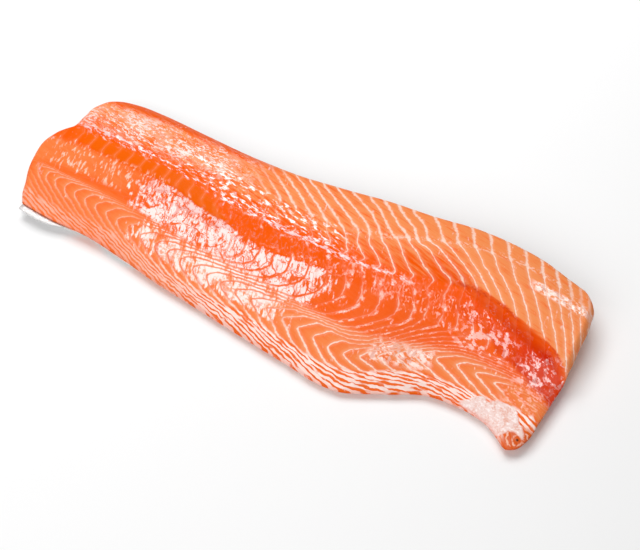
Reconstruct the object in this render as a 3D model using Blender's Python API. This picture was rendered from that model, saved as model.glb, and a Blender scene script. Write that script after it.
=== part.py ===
"""Raw salmon fillet lying skin down, cut across at both ends: the flesh and the skin under it."""

import bmesh
import bpy
import numpy as np

MM = 0.001

# Fineness of the solids: sections along the fillet and across it.
ALONG = 42
ACROSS = 20

# Thicknesses, in mm.
SKIN = 1.0
GAP = 0.3
RIM_WALL = 1.4

# Plan of the fillet in mm, x toward the head end and y toward the back of the fish.
BELLY_EDGE = (
    (-269, -53), (-245, -57), (-214, -60.5), (-180, -60.5), (-137, -66.4), (-111, -71.5),
    (-76, -76.7), (-40, -82), (-5, -87.3), (21, -90.8), (52, -95.2), (69.5, -93.5),
    (83, -87.3), (105, -76), (122, -67), (140, -64), (162, -65), (175, -69), (187, -76.5),
    (197, -82.5), (211, -82),
)
BACK_EDGE = (
    (-269, 75), (-224, 79.5), (-198, 79), (-141, 74), (-90, 70.5), (-53, 70.5), (-20, 74),
    (18, 79), (70, 82), (97, 85.5), (132, 84.5), (158, 80.3), (176, 75), (195, 69.5), (211, 63.5),
)
# Cut ends: x at shares of the width, from the belly edge at 0 to the back edge at 1.
TAIL_CUT = (
    (0, -244), (0.04, -250), (0.15, -258), (0.23, -263.5), (0.336, -267.5), (0.45, -270),
    (0.53, -270), (0.603, -267.5), (0.64, -263.5), (0.68, -258), (0.737, -255), (0.83, -253.5),
    (0.886, -250), (0.95, -242), (1, -230),
)
HEAD_CUT = (
    (0, 197), (0.05, 206.5), (0.22, 210), (0.33, 210), (0.55, 211.5), (0.66, 210.6),
    (0.84, 208.8), (0.95, 203), (1, 192),
)
# Line where the backbone lay, and how wide the step up to the back muscle is beside it.
SPINE_LINE = (
    (-264, 31), (-176, 26), (-132, 21), (-97, 15), (-44, 17), (0, 16), (53, 14), (88, 20),
    (110, 24), (132, 18), (158, 9), (180, 2), (211, -14),
)
SPINE_STEP = (
    (-264, 12), (-176, 14), (-97, 16), (0, 28), (80, 26), (110, 14), (158, 11), (211, 10),
)

# Thickness of the flesh along the fillet: crown of the back, spine line, rib wall, belly edge.
BACK_HEIGHT = ((-264, 22), (-200, 25), (-100, 28), (0, 30), (100, 31), (160, 30), (211, 27))
SPINE_HEIGHT = ((-264, 15), (-200, 19), (-100, 22), (0, 23), (60, 22), (110, 19), (160, 15), (211, 12))
RIB_HEIGHT = ((-264, 17), (-200, 21), (-100, 24.5), (0, 25), (60, 22.5), (110, 17.5), (160, 14), (211, 11))
BELLY_HEIGHT = ((-264, 12), (-200, 11), (-100, 9), (0, 8), (100, 7), (160, 6.5), (211, 6))
RIB_WIDTH = 32
BACK_FALL = 0.12

# How far the skin side curls up under the two long edges, and over what width.
BELLY_CURL = ((-264, 9), (-200, 8), (-137, 5), (-76, 3.5), (52, 3), (211, 3))
BACK_CURL = ((-264, 12), (-100, 15), (100, 16), (211, 13))
BACK_CURL_WIDTH = 26
CURL_POWER = 2.2

# Roundings of the upper rim.
TAIL_ROUND = 10
HEAD_ROUND = 5
BELLY_ROUND = 9
BACK_ROUND = ((-264, 16), (-120, 12), (0, 9), (211, 7))

# Slant of the head cut: it runs in under the flesh, bare of skin.
HEAD_SLANT = 9
HEAD_SLANT_RISE = 0.72

COLOURS = {"flesh": (0.86, 0.235, 0.075, 1.0), "skin": (0.42, 0.45, 0.48, 1.0)}
ROUGHNESS = {"flesh": 0.35, "skin": 0.45}


def curve(stations, x):
    """Value at x of a smooth curve through (x, value) stations."""
    xs, values = (np.array(column, float) for column in zip(*stations))
    slopes = np.gradient(values, xs)
    x = np.clip(x, xs[0], xs[-1])
    i = np.clip(np.searchsorted(xs, x, side="right") - 1, 0, len(xs) - 2)
    width = xs[i + 1] - xs[i]
    q = (x - xs[i]) / width
    ends = (2 * q**3 - 3 * q**2 + 1) * values[i] + (3 * q**2 - 2 * q**3) * values[i + 1]
    return ends + width * ((q**3 - 2 * q**2 + q) * slopes[i] + (q**3 - q**2) * slopes[i + 1])


def step(q):
    """Smooth step from 0 to 1."""
    q = np.clip(q, 0, 1)
    return q * q * (3 - 2 * q)


def quarter(q):
    """Quarter-circle rise from 0 to 1."""
    q = np.clip(q, 0, 1)
    return np.sqrt(np.maximum(1 - (1 - q) ** 2, 0))


def plan(s, t):
    """Plan point at share s of the length and t of the width, with its distances to the four edges."""
    tail, head = curve(TAIL_CUT, t), curve(HEAD_CUT, t)
    x = (1 - s) * tail + s * head
    belly, back = curve(BELLY_EDGE, x), curve(BACK_EDGE, x)
    y = belly + (back - belly) * t
    return x, y, (s * (head - tail), (1 - s) * (head - tail), t * (back - belly), (1 - t) * (back - belly))


def thickness(x, y):
    """Height of the cut face over the flat of the skin side, before the rim is rounded."""
    belly, back, spine = curve(BELLY_EDGE, x), curve(BACK_EDGE, x), curve(SPINE_LINE, x)
    crown = spine + 0.5 * (back - spine)
    ribs = spine - RIB_WIDTH
    crown_high, spine_high = curve(BACK_HEIGHT, x), curve(SPINE_HEIGHT, x)
    rib_high, belly_high = curve(RIB_HEIGHT, x), curve(BELLY_HEIGHT, x)
    rise = 0.7 * step((y - spine) / curve(SPINE_STEP, x)) + 0.3 * step((y - spine) / (crown - spine))
    fall = BACK_FALL * crown_high * np.clip((y - crown) / (back - crown), 0, 1) ** 2
    on_back = spine_high + (crown_high - spine_high) * rise - fall
    on_ribs = spine_high + (rib_high - spine_high) * step((spine - y) / RIB_WIDTH)
    q = np.clip((ribs - y) / (ribs - belly), 0, 1)
    on_belly = belly_high + (rib_high - belly_high) * (1 - q**1.7)
    return np.where(y > spine, on_back, np.where(y > ribs, on_ribs, on_belly))


def underside(s, t):
    """Points of the flesh where the skin lies on it, before the slant of the head cut."""
    x, y, (_, _, to_belly, to_back) = plan(s, t)
    belly_curl, back_curl = curve(BELLY_CURL, x), curve(BACK_CURL, x)
    z = belly_curl * np.clip(1 - to_belly / (1.5 * belly_curl), 0, 1) ** CURL_POWER
    z = z + back_curl * np.clip(1 - to_back / BACK_CURL_WIDTH, 0, 1) ** CURL_POWER
    return np.stack([x, y, z], -1)


def under_skin(s, t, depth):
    """Points of the underside moved square to it by the given depth, away from the flesh."""
    e = 1e-4
    along = underside(s + e, t) - underside(s - e, t)
    across = underside(s, t + e) - underside(s, t - e)
    normal = np.cross(along, across)
    normal /= np.linalg.norm(normal, axis=-1, keepdims=True)
    return underside(s, t) - depth * normal


def flesh_bottom(s, t):
    """Lower face of the flesh, with the slanted head cut."""
    point = underside(s, t)
    x, y, (_, to_head, _, _) = plan(s, t)
    slant = HEAD_SLANT_RISE * thickness(x, y) * np.clip(1 - to_head / HEAD_SLANT, 0, 1)
    point[..., 2] = np.maximum(point[..., 2], slant)
    return point


def flesh_top(s, t):
    """Upper face of the flesh, rounded over at the rim."""
    point = flesh_bottom(s, t)
    x, y, (to_tail, to_head, to_belly, to_back) = plan(s, t)
    floor = point[..., 2] + RIM_WALL
    rounding = quarter(to_tail / TAIL_ROUND) * quarter(to_head / HEAD_ROUND)
    rounding = rounding * quarter(to_belly / BELLY_ROUND) * quarter(to_back / curve(BACK_ROUND, x))
    point[..., 2] = floor + (np.maximum(thickness(x, y), floor) - floor) * rounding
    return point


def shares(u, v):
    """Shares of length and width for grid positions; the last cells end at the slanted cut."""
    t = v - 0.55 * np.sin(2 * np.pi * v) / (2 * np.pi)
    tail, head = curve(TAIL_CUT, t), curve(HEAD_CUT, t)
    start_of_cut = 1 - HEAD_SLANT / (head - tail)
    last = 1 - 1 / ALONG
    q = np.clip(u / last, 0, 1)
    q = q - 0.4 * np.sin(np.pi * q) / np.pi
    return np.where(u > last, start_of_cut + (1 - start_of_cut) * (u - last) * ALONG, start_of_cut * q), t


def slab(columns, fine_top):
    """Grid pulled up into a flat slab; returns its mesh and which corners are on top."""
    bm = bmesh.new()
    bmesh.ops.create_grid(bm, x_segments=columns, y_segments=ACROSS, size=0.5)
    pulled = bmesh.ops.extrude_face_region(bm, geom=bm.faces[:])["geom"]
    lifted = [v for v in pulled if isinstance(v, bmesh.types.BMVert)]
    bmesh.ops.translate(bm, verts=lifted, vec=(0, 0, 1))
    if fine_top:
        edges = [e for e in bm.edges if all(v.co.z > 0.5 for v in e.verts)]
        bmesh.ops.subdivide_edges(bm, edges=edges, cuts=1, use_grid_fill=True)
    bmesh.ops.recalc_face_normals(bm, faces=bm.faces[:])
    return bm


def shape(bm, columns, lower, upper):
    """Move the corners of a slab onto the lower and upper faces, in metres."""
    flat = np.array([v.co for v in bm.verts])
    u = (flat[:, 0] + 0.5) * columns / ALONG
    s, t = shares(u, flat[:, 1] + 0.5)
    places = np.where(flat[:, 2:] > 0.5, upper(s, t), lower(s, t)) * MM
    for v, place in zip(bm.verts, places):
        v.co = place


def add_object(bm, name, collection):
    """Finish a mesh as one object with its own material."""
    bmesh.ops.triangulate(bm, faces=bm.faces[:])
    for face in bm.faces:
        face.smooth = True
    mesh = bpy.data.meshes.new(name)
    bm.to_mesh(mesh)
    bm.free()
    material = bpy.data.materials.new(name)
    material.use_nodes = True
    shader = material.node_tree.nodes["Principled BSDF"]
    shader.inputs["Base Color"].default_value = COLOURS[name]
    shader.inputs["Roughness"].default_value = ROUGHNESS[name]
    mesh.materials.append(material)
    item = bpy.data.objects.new(name, mesh)
    collection.objects.link(item)
    return item


def settle(items):
    """Put the middle of the whole on the origin, with its lowest point at height 0."""
    corners = np.array([v.co for item in items for v in item.data.vertices])
    low, high = corners.min(axis=0), corners.max(axis=0)
    middle = (low + high) / 2
    for item in items:
        for v in item.data.vertices:
            v.co = (v.co.x - middle[0], v.co.y - middle[1], v.co.z - low[2])


def main():
    for item in list(bpy.data.objects):
        bpy.data.objects.remove(item)
    collection = bpy.data.collections.new("salmon")
    bpy.context.scene.collection.children.link(collection)

    flesh = slab(ALONG, True)
    shape(flesh, ALONG, flesh_bottom, flesh_top)

    skin = slab(ALONG - 1, False)
    shape(
        skin, ALONG - 1,
        lambda s, t: under_skin(s, t, GAP + SKIN),
        lambda s, t: under_skin(s, t, GAP),
    )
    settle([add_object(flesh, "flesh", collection), add_object(skin, "skin", collection)])


main()
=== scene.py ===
"""Raw salmon fillet lying skin down on a pale floor: wet flesh with its bands, and scaled skin."""

import math

import bpy
import numpy as np
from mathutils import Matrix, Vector


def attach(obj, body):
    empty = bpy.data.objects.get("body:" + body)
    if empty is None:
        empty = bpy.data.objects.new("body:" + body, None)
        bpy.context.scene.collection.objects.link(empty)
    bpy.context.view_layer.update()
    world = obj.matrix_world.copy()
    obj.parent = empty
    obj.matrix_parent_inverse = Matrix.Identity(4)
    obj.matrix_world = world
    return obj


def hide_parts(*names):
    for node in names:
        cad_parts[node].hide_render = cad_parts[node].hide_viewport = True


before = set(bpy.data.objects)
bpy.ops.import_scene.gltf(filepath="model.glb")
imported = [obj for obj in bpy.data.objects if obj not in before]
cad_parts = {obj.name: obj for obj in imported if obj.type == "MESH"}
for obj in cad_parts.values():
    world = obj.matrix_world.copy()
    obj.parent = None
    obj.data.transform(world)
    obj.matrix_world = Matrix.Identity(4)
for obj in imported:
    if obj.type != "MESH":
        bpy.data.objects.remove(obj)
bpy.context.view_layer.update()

MM = 0.001

# Grid of the modelled pieces: cells along and across, and cuts of each cell on the upper face.
COLUMNS = 140
ROWS = 56
TOP_CUTS = 2

# Cells along the slanted cut at the head end, and how much the rows crowd toward the long edges.
CUT_COLUMNS = 3
ROW_CROWDING = 0.35

# Camera: turn about Z and lift over the floor in degrees, distance in m, lens and sensor in mm.
CAMERA_TURN = 29
CAMERA_LIFT = 50
CAMERA_FAR = 1.188
LENS = 85
SENSOR = 36

# Middle of the fillet's outline and the height of the flesh over the floor, in the plan's mm.
MIDDLE = (-29.380, -4.691)
FLOOR_TO_FLESH = 1.3

# Thicknesses, in mm.
SKIN = 1.0
GAP = 0.3
RIM_WALL = 1.4

# Plan of the fillet in mm, x toward the head end and y toward the back of the fish. The edges give y
# at x, and the cuts give x at a share of the width, from the belly edge to the back edge.
BELLY_EDGE = (
    (-269, -53), (-245, -57), (-214, -60.5), (-180, -60.5), (-137, -66.4), (-111, -71.5),
    (-76, -76.7), (-40, -82), (-5, -87.3), (21, -90.8), (52, -95.2), (69.5, -93.5),
    (83, -87.3), (105, -76), (122, -67), (140, -64), (162, -65), (175, -68.3), (187, -75.3),
    (197, -82), (211, -82.5),
)
BACK_EDGE = (
    (-269, 75), (-224, 79.5), (-198, 79), (-141, 74), (-90, 70.5), (-53, 70.5), (-20, 74),
    (18, 79), (70, 82), (97, 85.5), (132, 84.5), (158, 80.3), (176, 75), (195, 69.5), (211, 63.5),
)
TAIL_CUT = (
    (0, -244), (0.04, -250), (0.15, -258), (0.23, -263.5), (0.336, -267.5), (0.45, -270),
    (0.53, -269.2), (0.603, -266.5), (0.64, -263.5), (0.68, -259), (0.737, -256.3), (0.83, -255.3),
    (0.886, -252), (0.93, -248), (0.97, -240), (1, -222),
)
HEAD_CUT = (
    (0, 196), (0.03, 202.5), (0.08, 206.5), (0.22, 209), (0.33, 210), (0.55, 211.5), (0.66, 210.6),
    (0.84, 208.8), (0.95, 203), (1, 192),
)

# Line of the spine, and the width of the step up from it to the back.
SPINE_LINE = (
    (-264, 31), (-176, 26), (-132, 21), (-97, 15), (-44, 17), (0, 16), (53, 14), (88, 20),
    (110, 24), (132, 18), (158, 9), (180, 2), (211, -14),
)
SPINE_STEP = (
    (-264, 12), (-176, 14), (-97, 16), (0, 28), (80, 24), (110, 11), (158, 8), (211, 8),
)

# Heights of the cut face at x: crown of the back, spine, rib side and belly edge.
BACK_HEIGHT = ((-264, 22), (-200, 25), (-100, 28), (0, 30), (100, 31), (160, 30), (211, 27))
SPINE_HEIGHT = (
    (-264, 15), (-200, 19), (-100, 22), (0, 23), (60, 22), (110, 19), (160, 15), (211, 12),
)
RIB_HEIGHT = (
    (-264, 17), (-200, 21), (-100, 24.5), (0, 25), (60, 22.5), (110, 17.5), (160, 14), (211, 11),
)
BELLY_HEIGHT = ((-264, 12), (-200, 11), (-100, 9), (0, 8), (100, 7), (160, 6.5), (211, 6))

# Width of the rib side from the spine down, and the share of its height that the back falls.
RIB_WIDTH = 32
BACK_FALL = 0.12

# How high the skin side curls up along the two long edges.
BELLY_CURL = ((-264, 9), (-200, 8), (-137, 5), (-76, 3.5), (52, 3), (211, 3))
BACK_CURL = ((-264, 12), (-100, 15), (100, 16), (211, 13))
BACK_CURL_WIDTH = 26
CURL_POWER = 2.2

# Widths over which the upper face rounds over at the rim.
TAIL_ROUND = ((0, 8), (0.55, 9), (0.75, 12), (0.9, 15), (1, 17))
HEAD_ROUND = 5
BELLY_ROUND = 9
BACK_ROUND = ((-264, 16), (-120, 12), (0, 9), (211, 7))

# Length of the slanted head cut, and the share of the thickness that it takes.
HEAD_SLANT = 9
HEAD_SLANT_RISE = 0.72

# Folds of the muscle bands from the back edge down to the belly edge. Each fold has a line, as y at
# x in the plan, and the number of the pale line that crosses it at x.
FOLDS = (
    (  # back edge
        ((-269, 72), (-141, 68), (-60, 62), (-20, 65), (0, 68), (20, 70), (60, 71), (90, 74),
         (120, 77), (150, 75), (175, 69), (195, 60), (211, 50)),
        ((-269, -0.5), (-44, 16), (-20, 18), (8, 20), (33, 22), (46, 23), (65, 24), (95, 26),
         (124, 28), (154, 30), (180, 32), (211, 35)),
    ),
    (  # kink of the back muscle
        ((-269, 52), (-200, 50), (-120, 42), (-60, 33), (-30, 31), (8, 31), (26, 35), (46, 39),
         (61, 45), (70, 49), (91, 56), (118, 61), (148, 61.5), (177, 57), (189, 52), (211, 42)),
        ((-269, -3.2), (-10, 15), (4, 16), (17, 17), (34, 19), (55, 21), (61, 22), (80, 24),
         (104, 26), (132.5, 28), (161, 30), (188, 32), (211, 34.5)),
    ),
    (  # half way down the back muscle
        ((-269, 42), (-160, 36), (-60, 25), (-10, 25), (20, 27), (40, 32), (60, 35), (80, 42),
         (100, 47), (115, 47), (170, 45), (190, 42), (211, 30)),
        ((-269, -3.9), (-8, 15), (9, 16), (27, 18), (53, 20), (75, 22), (94, 24), (116.5, 26),
         (143, 28), (170, 30), (191, 32), (211, 34)),
    ),
    (  # hooks at the foot of the back muscle
        ((-269, 34), (-220, 32.5), (-176, 29), (-145, 25), (-100, 20), (-44, 16), (0, 14.5),
         (33, 15), (58, 15), (72, 19), (88, 23), (100, 27), (111, 28.5), (125, 26), (145, 21.5),
         (160, 15.5), (180, 9), (195, 3), (211, -10)),
        ((-269, -5), (-216, -1), (-165, 3), (-114, 7), (-59, 11), (-14, 14), (17, 16), (46, 18),
         (58, 19), (72, 20), (88, 21), (111, 23), (133, 25), (159, 27), (186, 29), (211, 31)),
    ),
    (  # hooks at the head of the rib wall
        ((-269, 14), (-200, 14), (-160, 12), (-130, 8), (-100, 6), (-60, 9), (-20, 9.5),
         (60, 10.5), (75, 12), (90, 13), (105, 12), (120, 8), (140, 3), (160, -3), (180, -10),
         (211, -22)),
        ((-269, -5), (-216, -1), (-165, 3), (-114, 7), (-61, 11), (-20, 14), (13, 16), (43, 18),
         (57.5, 19), (71, 20), (86, 21), (114, 23), (142, 25), (170, 27), (211, 30)),
    ),
    (  # turn of the rib wall bands
        ((-269, -12), (-215, -18), (-190, -19), (-160, -22), (-135, -25.5), (-112, -29),
         (-89, -31), (-66, -31), (-41, -29), (-15, -26), (33, -26), (62, -25), (76, -20),
         (87, -18), (96, -13), (108, -10), (121, -8), (134, -8), (150, -12), (180, -18), (211, -28)),
        ((-269, -7), (-215, -3), (-162, 1), (-112, 5), (-66, 9), (-15, 13), (17, 15), (33, 16),
         (47, 17), (62, 18), (76, 19), (87, 20), (96, 21), (108, 22), (134, 24), (180, 27), (211, 29)),
    ),
    (  # trough below the rib wall
        ((-269, -14), (-215, -20), (-190, -21.5), (-160, -25.5), (-135, -30), (-112, -34),
         (-89, -37.5), (-66, -39.5), (-50, -41), (-18, -43.5), (15, -47), (50, -49), (63, -48),
         (78, -45), (86, -42.5), (94, -38.5), (102, -35), (110, -32), (118, -30.5), (128, -28),
         (145, -26), (162, -26.5), (185, -30), (211, -38)),
        ((-269, -3.5), (-190, 1.5), (-150, 5.2), (-110, 8.6), (-70, 11.2), (-50, 12), (-18, 14),
         (15, 16), (40, 18), (62, 20), (78, 22), (94, 24), (110, 26), (128, 28), (145, 29),
         (162, 30), (185, 31), (211, 32)),
    ),
    (  # shoulder of the belly chevrons
        ((-269, -15.5), (-240, -19), (-200, -23), (-172, -27.5), (-150, -32.5), (-120, -39.5),
         (-90, -45.5), (-50, -50), (0, -54), (20, -54), (41, -57), (52, -60), (66, -61.5),
         (80, -56), (100, -42), (118, -33.5), (130, -30.5), (147, -29.8), (160, -32), (185, -35),
         (211, -41)),
        ((-269, -1.6), (-250, 0), (-200, 4), (-151, 8), (-100, 12), (-46, 16), (-14, 18), (18, 20),
         (30, 21), (52, 23), (64, 24), (75, 25), (98, 27), (130, 29), (161, 31), (178, 32), (211, 34)),
    ),
    (  # points of the belly chevrons
        ((-269, -20), (-253, -25), (-232, -30.5), (-211, -34), (-189, -36.5), (-165, -41),
         (-141, -46), (-111, -50), (-83, -54.5), (-58, -57), (-29, -59), (0, -62.5), (30, -66.5),
         (57, -69.5), (69, -66.5), (81, -59.5), (92, -52), (104, -44.5), (119, -39), (134, -36.5),
         (165, -37), (195, -38), (211, -43)),
        ((-269, -1.4), (-253, 0), (-211, 4), (-165, 8), (-141, 10), (-124, 11), (-98, 13), (-71, 15),
         (-44, 17), (-14, 19), (16, 21), (30, 22), (57, 24), (81, 26), (92, 27), (104, 28),
         (134, 30), (165, 32), (195, 34), (211, 35)),
    ),
    (  # edge of the fatty belly strip
        ((-269, -40), (-215, -50), (-187, -50.5), (-165, -51), (-140, -56), (-110, -63), (-70, -69),
         (-30, -71), (0, -76), (20, -78), (50, -81), (72, -76), (85, -70), (100, -61), (115, -54),
         (135, -51.5), (165, -51), (190, -50), (211, -53)),
        ((-269, -5), (-215, 0), (-185, 3.9), (-165, 6), (-143, 8), (-90, 12), (-36, 16), (20, 20),
         (35, 21), (50, 22), (75, 24), (97, 26), (110, 27), (128, 28), (148, 29), (163, 30),
         (190, 32), (211, 33.5)),
    ),
    (  # belly edge
        BELLY_EDGE,
        ((-269, -9), (-215, -4.5), (-165, 0.7), (-120, 4.5), (-62, 8.5), (-8, 12.5), (50, 16.8),
         (97, 20), (130, 22), (190, 25), (211, 26.5)),
    ),
)
# The two folds with curved bands below them, counted from the back edge.
RIB_HEADS = 4
RIB_TURN = 5
# Steps across a fold over which its bands are averaged, and the share of each.
FOLD_STEPS = ((-1.5, 0.15), (-0.5, 0.35), (0.5, 0.35), (1.5, 0.15))

# Upper and lower edge of the bare groove at the tail half.
GROOVE_HIGH = (
    (-269, 31), (-220, 31), (-180, 26.5), (-160, 25), (-140, 22), (-120, 17.5), (-105, 11),
    (-90, 2), (-78, -3), (211, -3),
)
GROOVE_LOW = (
    (-269, 22), (-240, 18), (-200, 12), (-160, 9.5), (-140, 7), (-120, 2), (-100, -3), (-78, -8),
    (211, -8),
)
# Upper edge of the glare on the film over the ribs, and of the part of it that mirrors the lamps.
GLARE_HIGH = (
    (-180, 11), (-160, 10), (-140, 7), (-120, 2), (-95, -3), (-80, -7), (-65, -12.5), (-30, -15.5),
    (0, -12), (22, -9),
)
MIRROR_HIGH = (
    (-180, 7), (-150, 1), (-135, 0), (-120, -7), (-100, -11), (-85, -13), (-60, -14), (22, -11),
)
# Ridge of white bits along the upper side of the groove.
RIDGE = (
    (-250, 35), (-225, 33.5), (-200, 32), (-180, 30), (-160, 28), (-140, 24.5), (-120, 21), (-100, 18),
    (-70, 14), (-40, 11), (-10, 9), (30, 9), (60, 11), (75, 13), (211, 13),
)
# Lower edge of the dark red wedge at the head end.
WEDGE_LOW = ((100, 12), (120, 4), (140, 0), (160, -13), (175, -20), (195, -27), (211, -36))
# How far the belly edge of the skin stays back under the flesh, in mm; below 0 it comes out.
SKIN_INSET = (
    (-269, -3), (-250, -5), (-212, -3.6), (-200, 0), (-186, 4.5), (-170, 4.5), (-160, 2), (-138, 2),
    (-125, 4.5), (211, 4.5),
)
# Upper and lower edge of the white film over the belly at the head end.
FILM_TOP = (
    (148, -61), (156, -57), (161, -52.5), (170, -52), (180, -50.5), (191, -52), (197, -59), (206, -69),
)
FILM_LOW = (
    (148, -61.5), (158, -63.5), (168, -66), (178, -70), (187, -73), (193, -68), (200, -68), (206, -71),
)

# Middle of the rings on the nose in mm from the object's origin, and the pitch of the rings.
NOSE_X = 230.4
NOSE_Y = -67.8
RING_PITCH = 3.8

# Pitch of the rows of scales along and across the skin, in mm.
SCALE_LENGTH = 6.4
SCALE_WIDTH = 4.4

# Cells per metre, upwards, of the stretched noises in the flesh.
GRAIN_UP = 200


def curve(stations, x):
    """Value at x of a smooth curve through (x, value) stations."""
    xs, values = (np.array(column, float) for column in zip(*stations))
    slopes = np.gradient(values, xs)
    x = np.clip(x, xs[0], xs[-1])
    i = np.clip(np.searchsorted(xs, x, side="right") - 1, 0, len(xs) - 2)
    width = xs[i + 1] - xs[i]
    q = (x - xs[i]) / width
    ends = (2 * q**3 - 3 * q**2 + 1) * values[i] + (3 * q**2 - 2 * q**3) * values[i + 1]
    return ends + width * ((q**3 - 2 * q**2 + q) * slopes[i] + (q**3 - q**2) * slopes[i + 1])


def step(q):
    """Smooth step from 0 to 1."""
    q = np.clip(q, 0, 1)
    return q * q * (3 - 2 * q)


def quarter(q):
    """Quarter-circle rise from 0 to 1."""
    q = np.clip(q, 0, 1)
    return np.sqrt(np.maximum(1 - (1 - q) ** 2, 0))


def over(value, limit, soft):
    """Smooth mask, 1 where the value is over the limit by half the soft width or more."""
    return step((value - limit) / soft + 0.5)


def between(value, low, high, soft):
    """Smooth mask, 1 where the value lies between the two limits."""
    return over(value, low, soft) * (1 - over(value, high, soft))


def noise(x, y, seed):
    """Smooth noise of unit grain, from -1 to 1."""
    table = np.random.default_rng(seed).uniform(-1, 1, (256, 256))
    i, j = np.floor(x).astype(int), np.floor(y).astype(int)
    p, q = step(x - i), step(y - j)
    near = table[i % 256, j % 256] * (1 - p) + table[(i + 1) % 256, j % 256] * p
    far = table[i % 256, (j + 1) % 256] * (1 - p) + table[(i + 1) % 256, (j + 1) % 256] * p
    return near * (1 - q) + far * q


def plan(s, t):
    """Plan point at share s of the length and t of the width, with its distances to the edges.

    The distances are those to the tail end, head end, belly edge and back edge.
    """
    tail, head = curve(TAIL_CUT, t), curve(HEAD_CUT, t)
    x = (1 - s) * tail + s * head
    belly, back = curve(BELLY_EDGE, x), curve(BACK_EDGE, x)
    y = belly + (back - belly) * t
    length, width = head - tail, back - belly
    return x, y, (s * length, (1 - s) * length, t * width, (1 - t) * width)


def thickness(x, y):
    """Height of the cut face over the flat of the skin side, before the rim is rounded."""
    belly, back, spine = curve(BELLY_EDGE, x), curve(BACK_EDGE, x), curve(SPINE_LINE, x)
    crown = spine + 0.5 * (back - spine)
    ribs = spine - RIB_WIDTH
    crown_high, spine_high = curve(BACK_HEIGHT, x), curve(SPINE_HEIGHT, x)
    rib_high, belly_high = curve(RIB_HEIGHT, x), curve(BELLY_HEIGHT, x)
    rise = 0.7 * step((y - spine) / curve(SPINE_STEP, x)) + 0.3 * step((y - spine) / (crown - spine))
    fall = BACK_FALL * crown_high * np.clip((y - crown) / (back - crown), 0, 1) ** 2
    on_back = spine_high + (crown_high - spine_high) * rise - fall
    on_ribs = spine_high + (rib_high - spine_high) * step((spine - y) / RIB_WIDTH)
    q = np.clip((ribs - y) / (ribs - belly), 0, 1)
    on_belly = belly_high + (rib_high - belly_high) * (1 - q**1.7)
    return np.where(y > spine, on_back, np.where(y > ribs, on_ribs, on_belly))


def underside(s, t):
    """Points of the flesh where the skin lies on it, before the slant of the head cut."""
    x, y, (_, _, to_belly, to_back) = plan(s, t)
    belly_curl, back_curl = curve(BELLY_CURL, x), curve(BACK_CURL, x)
    z = belly_curl * np.clip(1 - to_belly / (1.5 * belly_curl), 0, 1) ** CURL_POWER
    z = z + back_curl * np.clip(1 - to_back / BACK_CURL_WIDTH, 0, 1) ** CURL_POWER
    return np.stack([x, y, z], -1)


def under_skin(s, t, depth):
    """Points of the underside moved square to it by the given depth, away from the flesh."""
    near = 1e-4
    along = underside(s + near, t) - underside(s - near, t)
    across = underside(s, t + near) - underside(s, t - near)
    normal = np.cross(along, across)
    normal /= np.linalg.norm(normal, axis=-1, keepdims=True)
    return underside(s, t) - depth * normal


def flesh_bottom(s, t):
    """Lower face of the flesh, with the slanted head cut."""
    point = underside(s, t)
    x, y, (_, to_head, _, _) = plan(s, t)
    slant = HEAD_SLANT_RISE * thickness(x, y) * np.clip(1 - to_head / HEAD_SLANT, 0, 1)
    point[..., 2] = np.maximum(point[..., 2], slant)
    return point


def folded_bands(x, y):
    """Number of the muscle band at a plan point, with a sharp turn at each fold."""
    lines = [curve(line, x) for line, _ in FOLDS]
    numbers = [curve(number, x) for _, number in FOLDS]
    band = numbers[0] + 0.045 * (y - lines[0])
    for k in range(len(FOLDS) - 1):
        share = np.clip((lines[k] - y) / (lines[k] - lines[k + 1]), 0, 1)
        if k == RIB_HEADS:
            share = np.sin(share * math.pi / 2)
        if k == RIB_TURN:
            share = 1 - np.cos(share * math.pi / 2)
        band = np.where(y < lines[k], numbers[k] + (numbers[k + 1] - numbers[k]) * share, band)
    return band


def bands(x, y):
    """Number of the muscle band with rounded folds; the pale lines lie where it is whole."""
    soft = 1.2 + 1.5 * (1 - over(x, -60, 200))
    return sum(share * folded_bands(x, y + steps * soft) for steps, share in FOLD_STEPS)


def band_width(x, y):
    """Distance in mm from one pale line to the next."""
    near = 0.4
    along = (bands(x + near, y) - bands(x - near, y)) / (2 * near)
    across = (bands(x, y + near) - bands(x, y - near)) / (2 * near)
    return 1 / np.maximum(np.hypot(along, across), 0.04)


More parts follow.
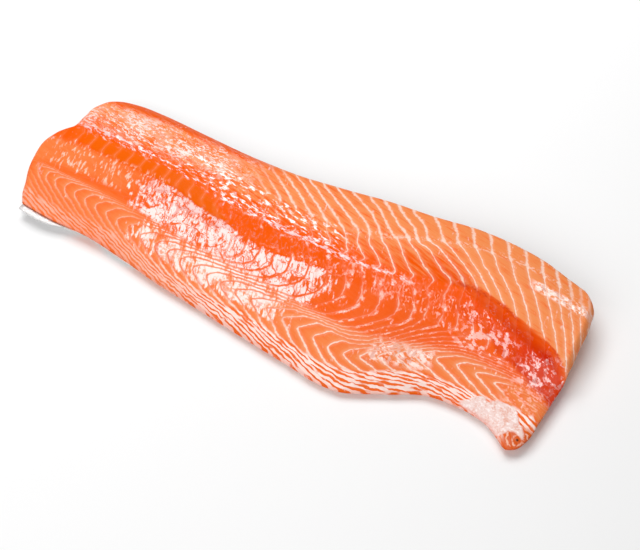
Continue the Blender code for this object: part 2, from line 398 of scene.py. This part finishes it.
def masks(x, y):
    """Shares of each kind of surface at a plan point, and how each pale line looks there."""
    back, kink, _, hooks, heads, turn, trough, shoulder, points, fat_edge, belly = (
        curve(line, x) for line, _ in FOLDS
    )
    rough = 2.2 * noise(x / 7, y / 5, 3) + 1.1 * noise(x / 2.5, y / 2.5, 4)
    on_back = over(y, hooks, 3)
    ribs = between(y, trough, heads, 5)

    # Groove of the backbone, the white bits on the ridge over it, and the darker strip it runs on in.
    groove = between(y, curve(GROOVE_LOW, x) + 0.5 * rough, curve(GROOVE_HIGH, x) + 0.4 * rough, 3)
    groove = groove * between(x, -242 + 2 * rough, -84, 18)
    ridge_width = 2.0 + 1.2 * between(x, -240, -150, 30)
    ridge = np.exp(-(((y - curve(RIDGE, x) - 0.5 * rough) / ridge_width) ** 2))
    ridge = ridge * (1 - over(x, 72, 30)) * (1 - 0.3 * over(x, 20, 60)) * over(x, -252, 8)
    bits = between(y, curve(RIDGE, x) + 1, kink + 1, 6) * between(x, -150, 8, 34)
    bare = between(y, curve(GROOVE_LOW, x), curve(RIDGE, x) + 1, 3) * between(x, -256, -70, 14)
    spine = between(y, -11 + 0.08 * (x - 20) + rough, hooks - 2, 7) * between(x, -95, 112, 40)

    # Red wedge at the head end, the dark step over it, the curls of film on it, the frayed cut below; the
    # curls and the frayed cut also carry painted highlights.
    wedge = between(y, curve(WEDGE_LOW, x) + rough, hooks - 3, 5) * over(x, 112 + 2 * rough, 34)
    ledge = between(y, hooks - 1.4, hooks + 0.4, 1.0) * between(x, 104, 206, 14)
    below_ledge = between(y, curve(WEDGE_LOW, x), hooks + 1, 2.5) * over(x, 108, 20)
    curls = between(x, 126, 168, 12) * between(y, -20, 5, 6)
    curls = curls + between(x, 178, 212, 12) * between(y, -30, -3, 7)
    frayed = over(x, 176, 14) * between(y, -56, -27, 6)

    # White film, round nose and fat of the belly.
    film = between(y, curve(FILM_LOW, x) + 0.5 * rough, curve(FILM_TOP, x) + 0.9 * rough, 1.1)
    film = film * between(x, 151 + rough, 204, 2.5)
    nose = (1 - over(y, -62, 8)) * over(x, 190, 10) * (1 - film)
    fat = (1 - over(y, fat_edge + 0.6 * rough, 3)) * (1 - 0.75 * nose)
    deep = fat * over(x, -82, 110)

    # Highlight strokes beside the groove and along the spine, painted and wet-coated, the wet film over the
    # ribs and the other places that shine.
    squiggle = between(y, -15, 13, 7) * between(x, -250, -146, 20)
    squiggle = np.maximum(squiggle, 0.6 * between(y, -12, hooks, 7) * between(x, -95, 120, 40))
    glare = between(y, trough - 1, curve(GLARE_HIGH, x) + 0.5 * rough, 4)
    glare = glare * between(x, -164 + 2 * rough, 22, 34)
    glare = np.maximum(glare, 0.92 * between(y, points - 8, trough + 1, 7) * between(x, -142, 0, 44))
    mirror = 1 - over(y, curve(MIRROR_HIGH, x), 5)
    sheen = on_back * (1 - over(x, -95, 50)) * between(y, 34 + rough, 62 + rough, 12)
    patch = between(x, 74, 118, 8) * between(y, -66 + 0.35 * (x - 74), -46 + 0.25 * (x - 74), 7)
    kink_shine = 49 - 0.12 * (x - 158)
    patch = np.maximum(patch, between(x, 158, 207, 10) * between(y, kink_shine - 4.5, kink_shine + 4, 3))
    seam = np.exp(-(((y - kink - 1) / 2.2) ** 2)) * over(x, 20, 40)

    # How strong the pale lines are.
    line = 0.9 - 0.12 * over(y, kink, 4) - 0.42 * ribs - 0.3 * between(y, shoulder, turn, 5)
    line = line - 0.3 * fat - 0.4 * deep
    line = line - 0.5 * (1 - over(x, -120, 90)) * (1 - over(y, turn, 5)) * (1 - 0.5 * fat)
    line = line * (1 - 0.8 * on_back * (1 - over(y, kink, 6)) * (1 - over(x, 2, 50)))
    line = line * (1 - 0.92 * ribs * (1 - over(x, 14, 40))) * (1 - 0.97 * below_ledge) * (1 - film)
    line = line * (1 - 0.75 * spine) * (1 - 0.9 * bare) * (1 - 0.85 * nose)
    line = line * (1 - 0.9 * on_back * (1 - over(x, -72, 50)))
    line = line * (1 - 0.5 * on_back * over(x, 184, 14) * over(y, 34, 12))
    line = line * over(x, -250, 14) * (1 - 0.9 * frayed)
    line = line * (1 - 0.55 * (1 - over(x, -150, 80)) * (1 - over(y, points - 3, 8)))

    # Half the width of the pale lines, in mm.
    low = 1 - over(y, points, 3)
    thick = 0.42 + 0.4 * over(y, kink, 5) + 0.5 * seam + 0.3 * over(y, back - 7, 12) * over(x, 0, 80)
    thick = thick + 0.2 * low + 0.25 * fat - 0.1 * between(y, shoulder, turn, 4)

    # How pale the flesh between the lines is; near the back edge of the tail half it is painted deeper as
    # shade. Painted shade along the rims, where the face rounds away, as a deeper orange.
    fade = (kink - hooks) * (1 - over(x, 108, 30)) + 3 * over(x, 108, 30) + 4
    pale = 0.15 + (0.6 + 0.15 * over(x, 0, 120)) * step((y - hooks + 2) / fade)
    pale = pale + 0.3 * on_back * over(x, 112, 40) - 0.6 * over(y, back - 7, 12) * (1 - over(x, -90, 60))
    pale = pale + (0.36 + 0.14 * over(x, -110, 90)) * (1 - over(y, trough, 9))
    pale = pale + 0.35 * (1 - over(x, -170, 50)) * between(y, -14, 12, 8)
    pale = np.clip(pale - 0.3 * spine - 0.3 * groove, 0, 1)
    rim = 1 - over(y, belly + 1.6, 2.4)
    rim = np.maximum(rim, 0.9 * over(y, back - 5, 8) * (1 - over(x, -90, 110)))
    return {
        "groove": groove, "ridge": ridge, "bits": bits, "wedge": wedge, "ledge": ledge, "curls": curls,
        "film": film, "fat": fat, "glare": glare, "sheen": sheen, "patch": patch, "back": on_back,
        "ribs": ribs, "line": line, "thick": thick, "pale": pale, "rim": rim, "squiggle": squiggle,
        "nose": nose, "deep": deep, "seam": seam, "frayed": frayed, "mirror": mirror,
    }


def relief(x, y, kind, band, width):
    """Height in mm of the bands, creases and wrinkles on the cut face."""
    off_line = 2 * np.abs(band - np.round(band))
    pillow = 1 - (1 - off_line) ** 3
    depth = 0.2 + 0.3 * kind["ribs"] + 0.1 * kind["glare"] + 0.1 * kind["back"]
    depth = depth * (0.3 + 0.7 * kind["line"]) * np.clip(width / 9, 0.15, 1)
    high = depth * (pillow - 0.5)
    warp = 3 * noise(x / 9, y / 9, 11)
    wrinkle = noise((x + 0.3 * y + warp) / 6.5, (y + warp) / 9.0, 12)
    wrinkle = wrinkle + 0.3 * noise((x + 0.3 * y) / 3.0, (y - 0.2 * x) / 4.2, 13)
    high = high + 0.2 * wrinkle * (kind["glare"] + 0.6 * kind["sheen"] + 0.5 * kind["ribs"] + 0.12)
    streak = noise((x + 2.2 * y) / 14, (y + 0.33 * x) / 1.9, 14)
    high = high + 0.3 * kind["fat"] * streak * (1 - kind["film"])
    high = high + 0.6 * noise(x / 38, y / 26, 15)
    lump = noise(x / 3.8, y / 3.8, 16) + 0.5 * noise(x / 2.1, y / 2.1, 17)
    high = high + 0.28 * lump * (kind["wedge"] + 0.7 * kind["patch"] + 0.6 * kind["bits"] + kind["ridge"])
    high = high + 0.5 * kind["ridge"] * (1 - over(x, -60, 60))
    return high + 0.3 * kind["film"] - 0.5 * kind["wedge"] - 0.4 * kind["groove"]


def flesh_top(s, t):
    """Upper face of the flesh, rounded over at the rim, with its relief."""
    point = flesh_bottom(s, t)
    x, y, (to_tail, to_head, to_belly, to_back) = plan(s, t)
    floor = point[..., 2] + RIM_WALL
    rounding = quarter(to_tail / curve(TAIL_ROUND, t)) * quarter(to_head / HEAD_ROUND)
    rounding = rounding * quarter(to_belly / BELLY_ROUND) * quarter(to_back / curve(BACK_ROUND, x))
    high = thickness(x, y) + relief(x, y, masks(x, y), bands(x, y), band_width(x, y))
    point[..., 2] = floor + (np.maximum(high, floor) - floor) * rounding
    return point


def shares(u, v):
    """Shares of length and width for grid positions; the last cells end at the slanted cut."""
    t = v - ROW_CROWDING * np.sin(2 * np.pi * v) / (2 * np.pi)
    tail, head = curve(TAIL_CUT, t), curve(HEAD_CUT, t)
    start_of_cut = 1 - HEAD_SLANT / (head - tail)
    cut_cells = CUT_COLUMNS / COLUMNS
    last = 1 - cut_cells
    along = start_of_cut * np.clip(u / last, 0, 1)
    return np.where(u > last, start_of_cut + (1 - start_of_cut) * (u - last) / cut_cells, along), t


def slab(name, columns, cuts):
    """Grid pulled up into a flat slab, with its upper face cut finer."""
    bpy.ops.object.select_all(action="DESELECT")
    bpy.ops.mesh.primitive_grid_add(x_subdivisions=columns, y_subdivisions=ROWS, size=1)
    piece = bpy.context.object
    piece.name = piece.data.name = name
    bpy.ops.object.mode_set(mode="EDIT")
    bpy.ops.mesh.select_all(action="SELECT")
    bpy.ops.mesh.extrude_region_move(TRANSFORM_OT_translate={"value": (0, 0, 1)})
    if cuts:
        bpy.ops.mesh.subdivide(number_cuts=cuts)
    bpy.ops.mesh.select_all(action="SELECT")
    bpy.ops.mesh.normals_make_consistent(inside=False)
    bpy.ops.object.mode_set(mode="OBJECT")
    return piece


def shape(piece, columns, lower, upper):
    """Move the corners of a slab onto the lower and upper faces.

    Returns the places of the corners in mm of the plan, and their shares of the width.
    """
    flat = np.empty(len(piece.data.vertices) * 3)
    piece.data.vertices.foreach_get("co", flat)
    flat = flat.reshape(-1, 3)
    s, t = shares((flat[:, 0] + 0.5) * columns / COLUMNS, flat[:, 1] + 0.5)
    on_top = flat[:, 2] > 0.5
    places = np.where(on_top[:, None], upper(s, t), lower(s, t))
    settled = (places - (*MIDDLE, -FLOOR_TO_FLESH)) * MM
    piece.data.vertices.foreach_set("co", settled.ravel())
    piece.data.shade_smooth()
    piece.data.update()
    return places, t


def paint(piece, name, values):
    """Keep one number per corner for the material to read."""
    layer = piece.data.attributes.new(name, "FLOAT", "POINT")
    layer.data.foreach_set("value", np.asarray(values, np.float32))


class Value:
    """A number, colour or vector on its way through a material's nodes."""

    def __init__(self, finish, socket):
        self.finish = finish
        self.socket = socket

    def math(self, operation, *others, first=None):
        terms = ([first] if first is not None else []) + [self, *others]
        return self.finish.node("ShaderNodeMath", {"operation": operation}, dict(enumerate(terms)))

    def __add__(self, other):
        return self.math("ADD", other)

    __radd__ = __add__

    def __mul__(self, other):
        return self.math("MULTIPLY", other)

    __rmul__ = __mul__

    def __sub__(self, other):
        return self.math("SUBTRACT", other)

    def __rsub__(self, other):
        return self.math("SUBTRACT", first=other)

    def __truediv__(self, other):
        return self.math("DIVIDE", other)

    def least(self, other):
        """The smaller of the two."""
        return self.math("MINIMUM", other)

    def most(self, other):
        """The larger of the two."""
        return self.math("MAXIMUM", other)

    def to_whole(self):
        """Distance to the nearest whole number."""
        return self.math("PINGPONG", 0.5)

    def rise(self, low, high, start=0.0, end=1.0):
        """Smooth change from start to end as the number passes from low to high."""
        return self.finish.node(
            "ShaderNodeMapRange", {"interpolation_type": "SMOOTHSTEP"},
            {0: self, 1: low, 2: high, 3: start, 4: end},
        )

    def fall(self, low, high):
        """Smooth change from 1 to 0 as the number passes from low to high."""
        return self.rise(low, high, 1.0, 0.0)


class Finish:
    """One material, built up from nodes."""

    def __init__(self, name, **plain):
        self.material = bpy.data.materials.new(name)
        self.material.use_nodes = True
        self.tree = self.material.node_tree
        self.shader = self.tree.nodes["Principled BSDF"]
        for key, value in plain.items():
            self.shader.inputs[key.replace("_", " ")].default_value = value

    def node(self, kind, settings=(), values=(), output=0):
        made = self.tree.nodes.new(kind)
        for key, value in dict(settings).items():
            setattr(made, key, value)
        for key, value in dict(values).items():
            if isinstance(value, Value):
                self.tree.links.new(value.socket, made.inputs[key])
            else:
                made.inputs[key].default_value = value
        return Value(self, made.outputs[output])

    def attribute(self, name):
        """Number painted on the piece."""
        return self.node("ShaderNodeAttribute", {"attribute_name": name}, output=2)

    def place(self):
        """Place from the object's origin, in metres."""
        return self.node("ShaderNodeTexCoord", output=3)

    def noise(self, vector, scale, detail=2.0, rough=0.5):
        return self.node(
            "ShaderNodeTexNoise", {}, {"Vector": vector, "Scale": scale, "Detail": detail, "Roughness": rough}
        )

    def grain(self, vector, turn, along, across, detail=3.0, rough=0.6):
        """Noise stretched along a line turned by degrees, with its cells per metre along and across."""
        return self.noise(self.turned(vector, turn, (along, across, GRAIN_UP)), 1.0, detail, rough)

    def warped(self, vector, scale, reach):
        """Vector pushed along each axis by noise, by up to the reach."""
        values = {"Vector": vector, "Scale": scale, "Detail": 1.5}
        push = self.node("ShaderNodeTexNoise", {}, values, output=1)
        terms = {0: push, 1: (reach,) * 3, 2: vector}
        return self.node("ShaderNodeVectorMath", {"operation": "MULTIPLY_ADD"}, terms)

    def cells(self, vector, feature, output=0):
        """Flat cell pattern: distance to the nearest border, or one random number per cell."""
        kind = {"voronoi_dimensions": "2D", "feature": feature}
        return self.node("ShaderNodeTexVoronoi", kind, {"Vector": vector, "Scale": 1.0}, output)

    def turned(self, vector, turn, scale):
        """Vector turned about Z by degrees, then stretched."""
        rotation = (0, 0, math.radians(turn))
        turned = self.node("ShaderNodeMapping", {}, {"Vector": vector, "Rotation": rotation})
        return self.node("ShaderNodeMapping", {}, {"Vector": turned, "Scale": scale})

    def mix(self, share, first, second):
        """Colour between first and second."""
        return self.node("ShaderNodeMix", {"data_type": "RGBA"}, {0: share, 6: first, 7: second}, output=2)

    def bump(self, height, distance):
        """Normal of a surface raised by the height, where 1 is the distance in metres."""
        return self.node("ShaderNodeBump", {}, {"Height": height, "Distance": distance, "Strength": 1.0})

    def feed(self, **links):
        """Link values to the shader's inputs, with _ for the spaces in their names."""
        for key, value in links.items():
            self.tree.links.new(value.socket, self.shader.inputs[key.replace("_", " ")])


def rgb(red, green, blue):
    """Colour as a screen shows it, 0 to 255, made linear."""
    linear = []
    for shown in (red / 255, green / 255, blue / 255):
        linear.append(shown / 12.92 if shown <= 0.04045 else ((shown + 0.055) / 1.055) ** 2.4)
    return (*linear, 1.0)


def flesh_finish(names):
    """Wet flesh; the names are those of the numbers painted on it."""
    f = Finish("wet_flesh", IOR=1.45, Specular_IOR_Level=0.02, Coat_IOR=2.25, Coat_Roughness=0.08)
    place = f.place()
    kind = {name: f.attribute(name) for name in names}

    # Distance to the nearest pale line in mm, the line with its halo, and the share of the band passed.
    wobble = f.noise(place, 160, 2) - 0.5
    band = kind["band"] + wobble * 2.4 / kind["width"]
    uneven = f.noise(place, 420, 2)
    half = (kind["width"] * 0.2).least(kind["thick"]) * (uneven * 2.0)
    off = band.to_whole() * kind["width"]
    line = (off / half).fall(0.4, 1.7) * kind["line"] * (0.5 + uneven)
    halo = off.fall(0.3, 3.0) * kind["line"] * 0.16
    part = band.math("FRACT")

    # Noises of several sizes and directions.
    cloud = f.noise(place, 38, 3, 0.6)
    speck = f.noise(place, 620, 2, 0.6)
    fibre = f.grain(place, 14, 56, 560)
    broad = f.grain(place, 30, 60, 115)
    swell = f.grain(place, -25, 230, 150, rough=0.65)
    blot = f.grain(place, 8, 150, 430, rough=0.68)
    tiny = f.grain(place, 8, 300, 640, rough=0.65)
    tall = f.grain(place, -22, 125, 48) - 0.5
    sheen_grain = f.grain(place, 12, 70, 190) - 0.5
    stroke = f.grain(place, -16, 440, 125, detail=2) + (broad - 0.5) * 0.4
    x_mm = f.node("ShaderNodeSeparateXYZ", {}, {0: place}) * 1000
    y_mm = f.node("ShaderNodeSeparateXYZ", {}, {0: place}, output=1) * 1000

    # Pale and deep orange, the groove with its cross marks, the red wedge and the dark step over it.
    below = (1 - kind["back"]) * (1 - kind["ribs"])
    # Painted shade: below the ribs each band is darker just past its pale line and lighter toward the next.
    pale = kind["pale"] + (part - 0.6) * below * 0.4 + (cloud - 0.5) * 0.45
    pale = pale + (fibre - 0.5) * (0.4 + kind["back"] * 2.3)
    colour = f.mix(pale.rise(-0.1, 1.1), rgb(243, 88, 0), rgb(243, 144, 84))
    colour = f.mix(kind["groove"] * 0.95, colour, rgb(234, 96, 2))
    colour = f.mix(off.fall(0.6, 3.0) * kind["groove"] * 0.14, colour, rgb(244, 144, 92))
    red = kind["wedge"] * (cloud * 1.3 + 0.2) * x_mm.rise(160, 212, 0.35)
    colour = f.mix(red.least(1.0), colour, rgb(210, 42, 4))
    dark = f.grain(place, 20, 60, 700, detail=2, rough=0.5).rise(0.35, 0.65) * 0.6 + 0.2
    colour = f.mix(dark * kind["ledge"], colour, rgb(200, 44, 8))
    colour = f.mix(kind["curls"] * cloud.rise(0.4, 0.6) * 0.2, colour, rgb(244, 140, 110))

    # Fat of the belly edge in white strips that run with the bands, on a deeper orange.
    run = f.node("ShaderNodeCombineXYZ", {}, {0: x_mm / 12, 1: band * 1.35, 2: 0.0})
    streak = f.noise(run, 1.0, 2, 0.5)
    dash = (off / kind["width"] * 0.7 + (streak - 0.5) * 1.2).fall(0.12, 0.24)
    white = dash * (kind["fat"] * 0.25 + kind["deep"] * 0.7) * (1 - kind["film"])
    colour = f.mix(kind["deep"] * 0.9, colour, rgb(242, 100, 14))
    colour = f.mix(white, colour, rgb(255, 230, 222))

    # Pale lines, the white bits beside the groove, and painted sheen on the back: highlight dots and strokes,
    # with a faint painted haze.
    colour = f.mix(line.most(halo) * (1 - kind["glare"] * 0.7), colour, rgb(252, 218, 202))
    crowd = kind["ridge"] * x_mm.rise(-70, 20, 0.06, 0.18)
    fleck = (blot + crowd).rise(0.58, 0.65) * kind["ridge"].most(kind["bits"] * 0.7)
    colour = f.mix(fleck.least(0.9), colour, rgb(246, 216, 218))
    rims = sheen_grain.math("ABSOLUTE").fall(0.008, 0.036) * tiny.rise(0.42, 0.52)
    dots = (tiny + (cloud - 0.5) * 0.8).rise(0.55, 0.62).most(rims)
    painted_sheen = (dots * 0.78).most(broad.rise(0.4, 0.6) * 0.16) * kind["sheen"]
    colour = f.mix(painted_sheen, colour, rgb(254, 222, 216))

    # Nose with its rings and the dark spot in their middle, the pearly film, and painted shade along the rims
    # as a deeper orange.
    colour = f.mix(kind["nose"] * 0.85, colour, rgb(212, 84, 16))
    far = ((x_mm - NOSE_X) * (x_mm - NOSE_X) + (y_mm - NOSE_Y) * (y_mm - NOSE_Y)).math("SQRT")
    ring = (far / RING_PITCH + wobble * 1.6).to_whole().fall(0.08, 0.26) * far.rise(2.0, 4.0)
    colour = f.mix(ring * kind["nose"] * swell.rise(0.42, 0.54) * 0.75, colour, rgb(250, 208, 186))
    colour = f.mix(far.rise(0.6, 1.3, 0.9, 0.0), colour, rgb(66, 30, 16))
    veil = (swell * 0.6 + speck * 0.4).rise(0.34, 0.52)
    pearl = f.mix(tiny.rise(0.48, 0.62), rgb(242, 218, 212), rgb(255, 244, 242))
    colour = f.mix(kind["film"] * 0.93, colour, f.mix(veil, rgb(232, 178, 160), pearl))
    colour = f.mix(kind["rim"] * (0.35 + kind["back"] * 0.3), colour, rgb(222, 84, 12))

    # Glare on the wet film over the ribs: plates and facets between creases, broken up by fine strokes. It is
    # painted into the colour as a highlight, and gets a wet coat where the lamps mirror.
    crease = tall.math("ABSOLUTE").least((broad - 0.5).math("ABSOLUTE") * 1.3)
    laid = f.turned(f.warped(place, 80, 0.016), -24, (82, 58, 1))
    border = f.cells(laid, "DISTANCE_TO_EDGE") + broad.rise(0.5, 0.6) * 0.08
    plate = f.cells(laid, "F1", 1)
    facet = f.cells(f.turned(f.warped(place, 160, 0.008), -24, (190, 125, 1)), "F1", 1)
    whole = border.rise(0.015, 0.07).least(crease.rise(0.002, 0.016)).most(1 - kind["ribs"])
    flank = off.fall(0.3, 0.95) * (1 - kind["ribs"]) * 0.9
    arc = off.fall(0.4, 1.5) * kind["ribs"] * x_mm.rise(-60, -10)
    whole = whole * (1 - flank) * (1 - arc)
    glare = kind["glare"] * 0.95 + (plate - 0.5) * 0.45 + (facet - 0.5) * 0.45
    glare = glare + (stroke - 0.5) * 2.4 + (swell - 0.5) * 0.8
    grit = (stroke * 0.45 + tiny * 0.55 + (cloud - 0.5) * 0.4).rise(0.4, 0.53, 0.3)
    glare = glare.rise(0.4, 1.0) * (whole * 0.97 + 0.03) * (1 - kind["groove"]) * grit.most(kind["ribs"])
    # Painted highlight of the glare, paler where the lamps do not mirror.
    colour = f.mix(glare * (0.86 - kind["mirror"] * 0.28), colour, rgb(255, 221, 219))
    glare = glare * kind["mirror"] * 0.76
    bead = part.rise(0.0, 0.06) * part.fall(0.16, 0.34) * kind["ribs"]
    bead = bead * swell.rise(0.46, 0.62) * x_mm.rise(-150, -110) * 0.85

    # Small highlights: painted highlights as a pale tint, and spots with a wet coat.
    spots = dots * kind["sheen"] * 0.35
    spots = spots.most(blot.rise(0.52, 0.62) * kind["bits"].most(kind["ridge"]))
    shine = tiny.rise(0.5, 0.6) * kind["patch"] * kind["back"]
    colour = f.mix(shine * 0.6, colour, rgb(255, 226, 216))
    spots = spots.most(shine * 0.25)
    curl = kind["curls"] * (swell + (blot - 0.5) * 0.5).rise(0.52, 0.57)
    curl = curl.most(kind["frayed"] * (tiny * 0.6 + swell * 0.4).rise(0.5, 0.58) * 0.7)
    spots = spots.most(curl * 0.5)
    colour = f.mix(spots * 0.55, colour, rgb(255, 220, 216))
    # Painted highlight strokes beside the groove, fading out along the spine.
    painted_strokes = stroke.rise(0.53, 0.66) * kind["squiggle"] * (1 - kind["back"])
    colour = f.mix(painted_strokes * (0.72 - x_mm.rise(-125, -105) * 0.62), colour, rgb(254, 212, 192))
    gleam = kind["patch"] * (blot * 0.5 + swell * 0.5).rise(0.44, 0.55) * off.rise(0.25, 0.9)
    colour = f.mix(gleam * 0.55, colour, rgb(255, 228, 222))
    colour = f.mix(kind["seam"] * tiny.rise(0.5, 0.6) * 0.6, colour, rgb(255, 224, 212))
    thread = tall.math("ABSOLUTE").fall(0.005, 0.018) * cloud.rise(0.38, 0.54)
    glints = thread.most((swell + (cloud - 0.5) * 0.4 + (blot - 0.5) * 0.3).rise(0.61, 0.64))
    glints = glints * (kind["wedge"] + kind["squiggle"] * x_mm.rise(-90, -40)).least(1.0)
    tinted = kind["wedge"] * 0.14 + kind["squiggle"] * x_mm.rise(20, 60, 0.5, 0.0)
    colour = f.mix(glints * tinted, colour, rgb(254, 206, 200))
    spots = spots.most(glints).most(white * 0.2).most(gleam * 0.7)
    # Painted shade: the creases between the glare's plates are a deeper orange.
    colour = f.mix((1 - whole) * kind["glare"] * 0.6, colour, rgb(236, 88, 8))

    wet = glare.most(spots).most(bead)
    height = swell * 0.25 + speck * 0.12 + blot * 0.1 + fibre * kind["back"] * 0.45
    height = height - line * 0.1 + whole * kind["glare"] * 0.2
    f.feed(
        Base_Color=colour, Normal=f.bump(height, 0.0007),
        Coat_Weight=(wet * 0.9 + 0.01).least(1.0),
        Roughness=0.42 - kind["wedge"] * 0.15 - kind["ribs"] * 0.06,
    )
    return f.material


def skin_finish():
    """Scaled skin, silver at the belly and darker toward the back."""
    f = Finish("scaled_skin", IOR=1.45, Coat_Roughness=0.15)
    across, along = f.attribute("across"), f.attribute("along")
    girth = f.attribute("girth")
    place = f.place()
    drift = (f.noise(place, 60, 2) - 0.5) * 0.6
    grain = f.noise(place, 340, 2, 0.6)
    one = along / SCALE_LENGTH + across / SCALE_WIDTH + drift
    two = along / SCALE_LENGTH - across / SCALE_WIDTH - drift
    edge = one.to_whole().least(two.to_whole())
    outline = (edge + (grain - 0.5) * 0.16).fall(0.05, 0.15)
    cloud = f.noise(place, 28, 4, 0.6)
    fine = f.noise(place, 900, 2)
    dark = (girth + (cloud - 0.5) * 0.35).rise(0.45, 0.95)
    scale = f.mix(dark, rgb(214, 218, 222), rgb(104, 118, 130))
    scale = f.mix((0.42 - girth + (cloud - 0.5) * 0.3).rise(0.0, 0.35), scale, rgb(238, 236, 236))
    line = f.mix(dark, rgb(168, 176, 184), rgb(26, 34, 44))
    colour = f.mix(outline * (girth * 0.9 + 0.25).least(1.0), scale, line)
    blotch = (cloud * 0.7 + fine * 0.3).rise(0.56, 0.7) * dark
    colour = f.mix(blotch * 0.6, colour, rgb(34, 42, 52))
    border = f.attribute("border")
    colour = f.mix(border * 0.8, colour, rgb(240, 236, 234))
    height = edge.rise(0.0, 0.3) + fine * 0.15
    f.feed(
        Base_Color=colour, Normal=f.bump(height, 0.0003),
        Roughness=0.32 + fine * 0.2,
        Metallic=0.35 - border * 0.3,
        Coat_Weight=0.5 + cloud * 0.3,
    )
    return f.material


def floor_finish():
    """Pale matt floor with a faint mottle."""
    f = Finish("pale_floor", Roughness=0.7)
    tone = f.noise(f.place(), 3, 2)
    f.feed(Base_Color=f.mix(tone * 0.1, rgb(247, 247, 247), rgb(240, 240, 240)))
    return f.material


def make_camera():
    """Camera at the photograph's viewing angle, aimed at the origin of the plan."""
    data = bpy.data.cameras.new("camera")
    camera = bpy.data.objects.new("camera", data)
    bpy.context.scene.collection.objects.link(camera)
    bpy.context.scene.camera = camera
    data.lens = LENS
    data.sensor_width = SENSOR
    data.clip_start = 0.01
    turn, lift = math.radians(CAMERA_TURN), math.radians(CAMERA_LIFT)
    back = Vector((math.sin(turn) * math.cos(lift), -math.cos(turn) * math.cos(lift), math.sin(lift)))
    aim = Vector((-MIDDLE[0] * MM, -MIDDLE[1] * MM, FLOOR_TO_FLESH * MM))
    camera.location = aim + back * CAMERA_FAR
    camera.rotation_euler = back.to_track_quat("Z", "Y").to_euler()


def make_light(name, place, aim, size, watts):
    """Rectangular lamp that faces a point; places and sizes in metres."""
    data = bpy.data.lights.new(name, "AREA")
    data.shape = "RECTANGLE"
    data.size, data.size_y = size
    data.energy = watts
    light = bpy.data.objects.new(name, data)
    light.location = place
    light.rotation_euler = (Vector(place) - Vector(aim)).to_track_quat("Z", "Y").to_euler()
    bpy.context.scene.collection.objects.link(light)


def make_stage():
    """Floor, studio lamps and an even pale surround."""
    bpy.ops.object.select_all(action="DESELECT")
    bpy.ops.mesh.primitive_grid_add(x_subdivisions=4, y_subdivisions=4, size=8)
    floor = bpy.context.object
    floor.name = "floor"
    floor.data.materials.append(floor_finish())
    make_light("softbox", (-0.8, 0.6, 1.45), (-0.8, 0.6, 0.0), (0.76, 1.8), 17.2)
    make_light("strip", (-0.11, 0.74, 1.45), (-0.11, 0.74, 0.0), (0.62, 1.5), 9.8)
    make_light("glint", (0.12, 1.42, 1.45), (0.12, 1.42, 0.0), (0.3, 0.4), 2)
    make_light("fill", (0.1, -1.6, 1.1), (0, 0, 0), (1.8, 1.2), 19.8)
    world = bpy.data.worlds.new("studio")
    world.use_nodes = True
    world.node_tree.nodes["Background"].inputs["Color"].default_value = (1, 1, 1, 1)
    world.node_tree.nodes["Background"].inputs["Strength"].default_value = 0.17
    bpy.context.scene.world = world
    bpy.context.scene.view_settings.view_transform = "Standard"


def make_flesh():
    """Flesh with its relief, and the numbers that its finish reads."""
    piece = slab("salmon_flesh", COLUMNS, TOP_CUTS)
    places, _ = shape(piece, COLUMNS, flesh_bottom, flesh_top)
    x, y = places[:, 0], places[:, 1]
    painted = {**masks(x, y), "band": bands(x, y), "width": band_width(x, y)}
    for name, values in painted.items():
        paint(piece, name, values)
    piece.data.materials.append(flesh_finish(painted))
    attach(piece, "root")
    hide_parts("flesh")


def skin_share(s, t):
    """Share of the width, with the belly edge of the skin kept back under the flesh."""
    x, _, (_, _, below, above) = plan(s, t)
    return t + (1 - t) * curve(SKIN_INSET, x) / (below + above)


def make_skin():
    """Skin as one thin shell under the flesh."""
    columns = COLUMNS - CUT_COLUMNS
    piece = slab("salmon_skin", columns, 0)
    places, t = shape(
        piece, columns,
        lambda s, t: under_skin(s, skin_share(s, t), GAP + SKIN),
        lambda s, t: under_skin(s, skin_share(s, t), GAP),
    )
    x, y, z = places.T
    paint(piece, "along", x)
    unrolled = y + np.where(t > 0.5, 0.8, -0.8) * z
    paint(piece, "across", unrolled)
    paint(piece, "girth", t)
    paint(piece, "border", np.maximum(over(t, 0.985, 0.02), 1 - over(t, 0.02, 0.03)))
    piece.data.materials.append(skin_finish())
    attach(piece, "root")
    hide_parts("skin")


make_camera()
make_stage()
make_flesh()
make_skin()
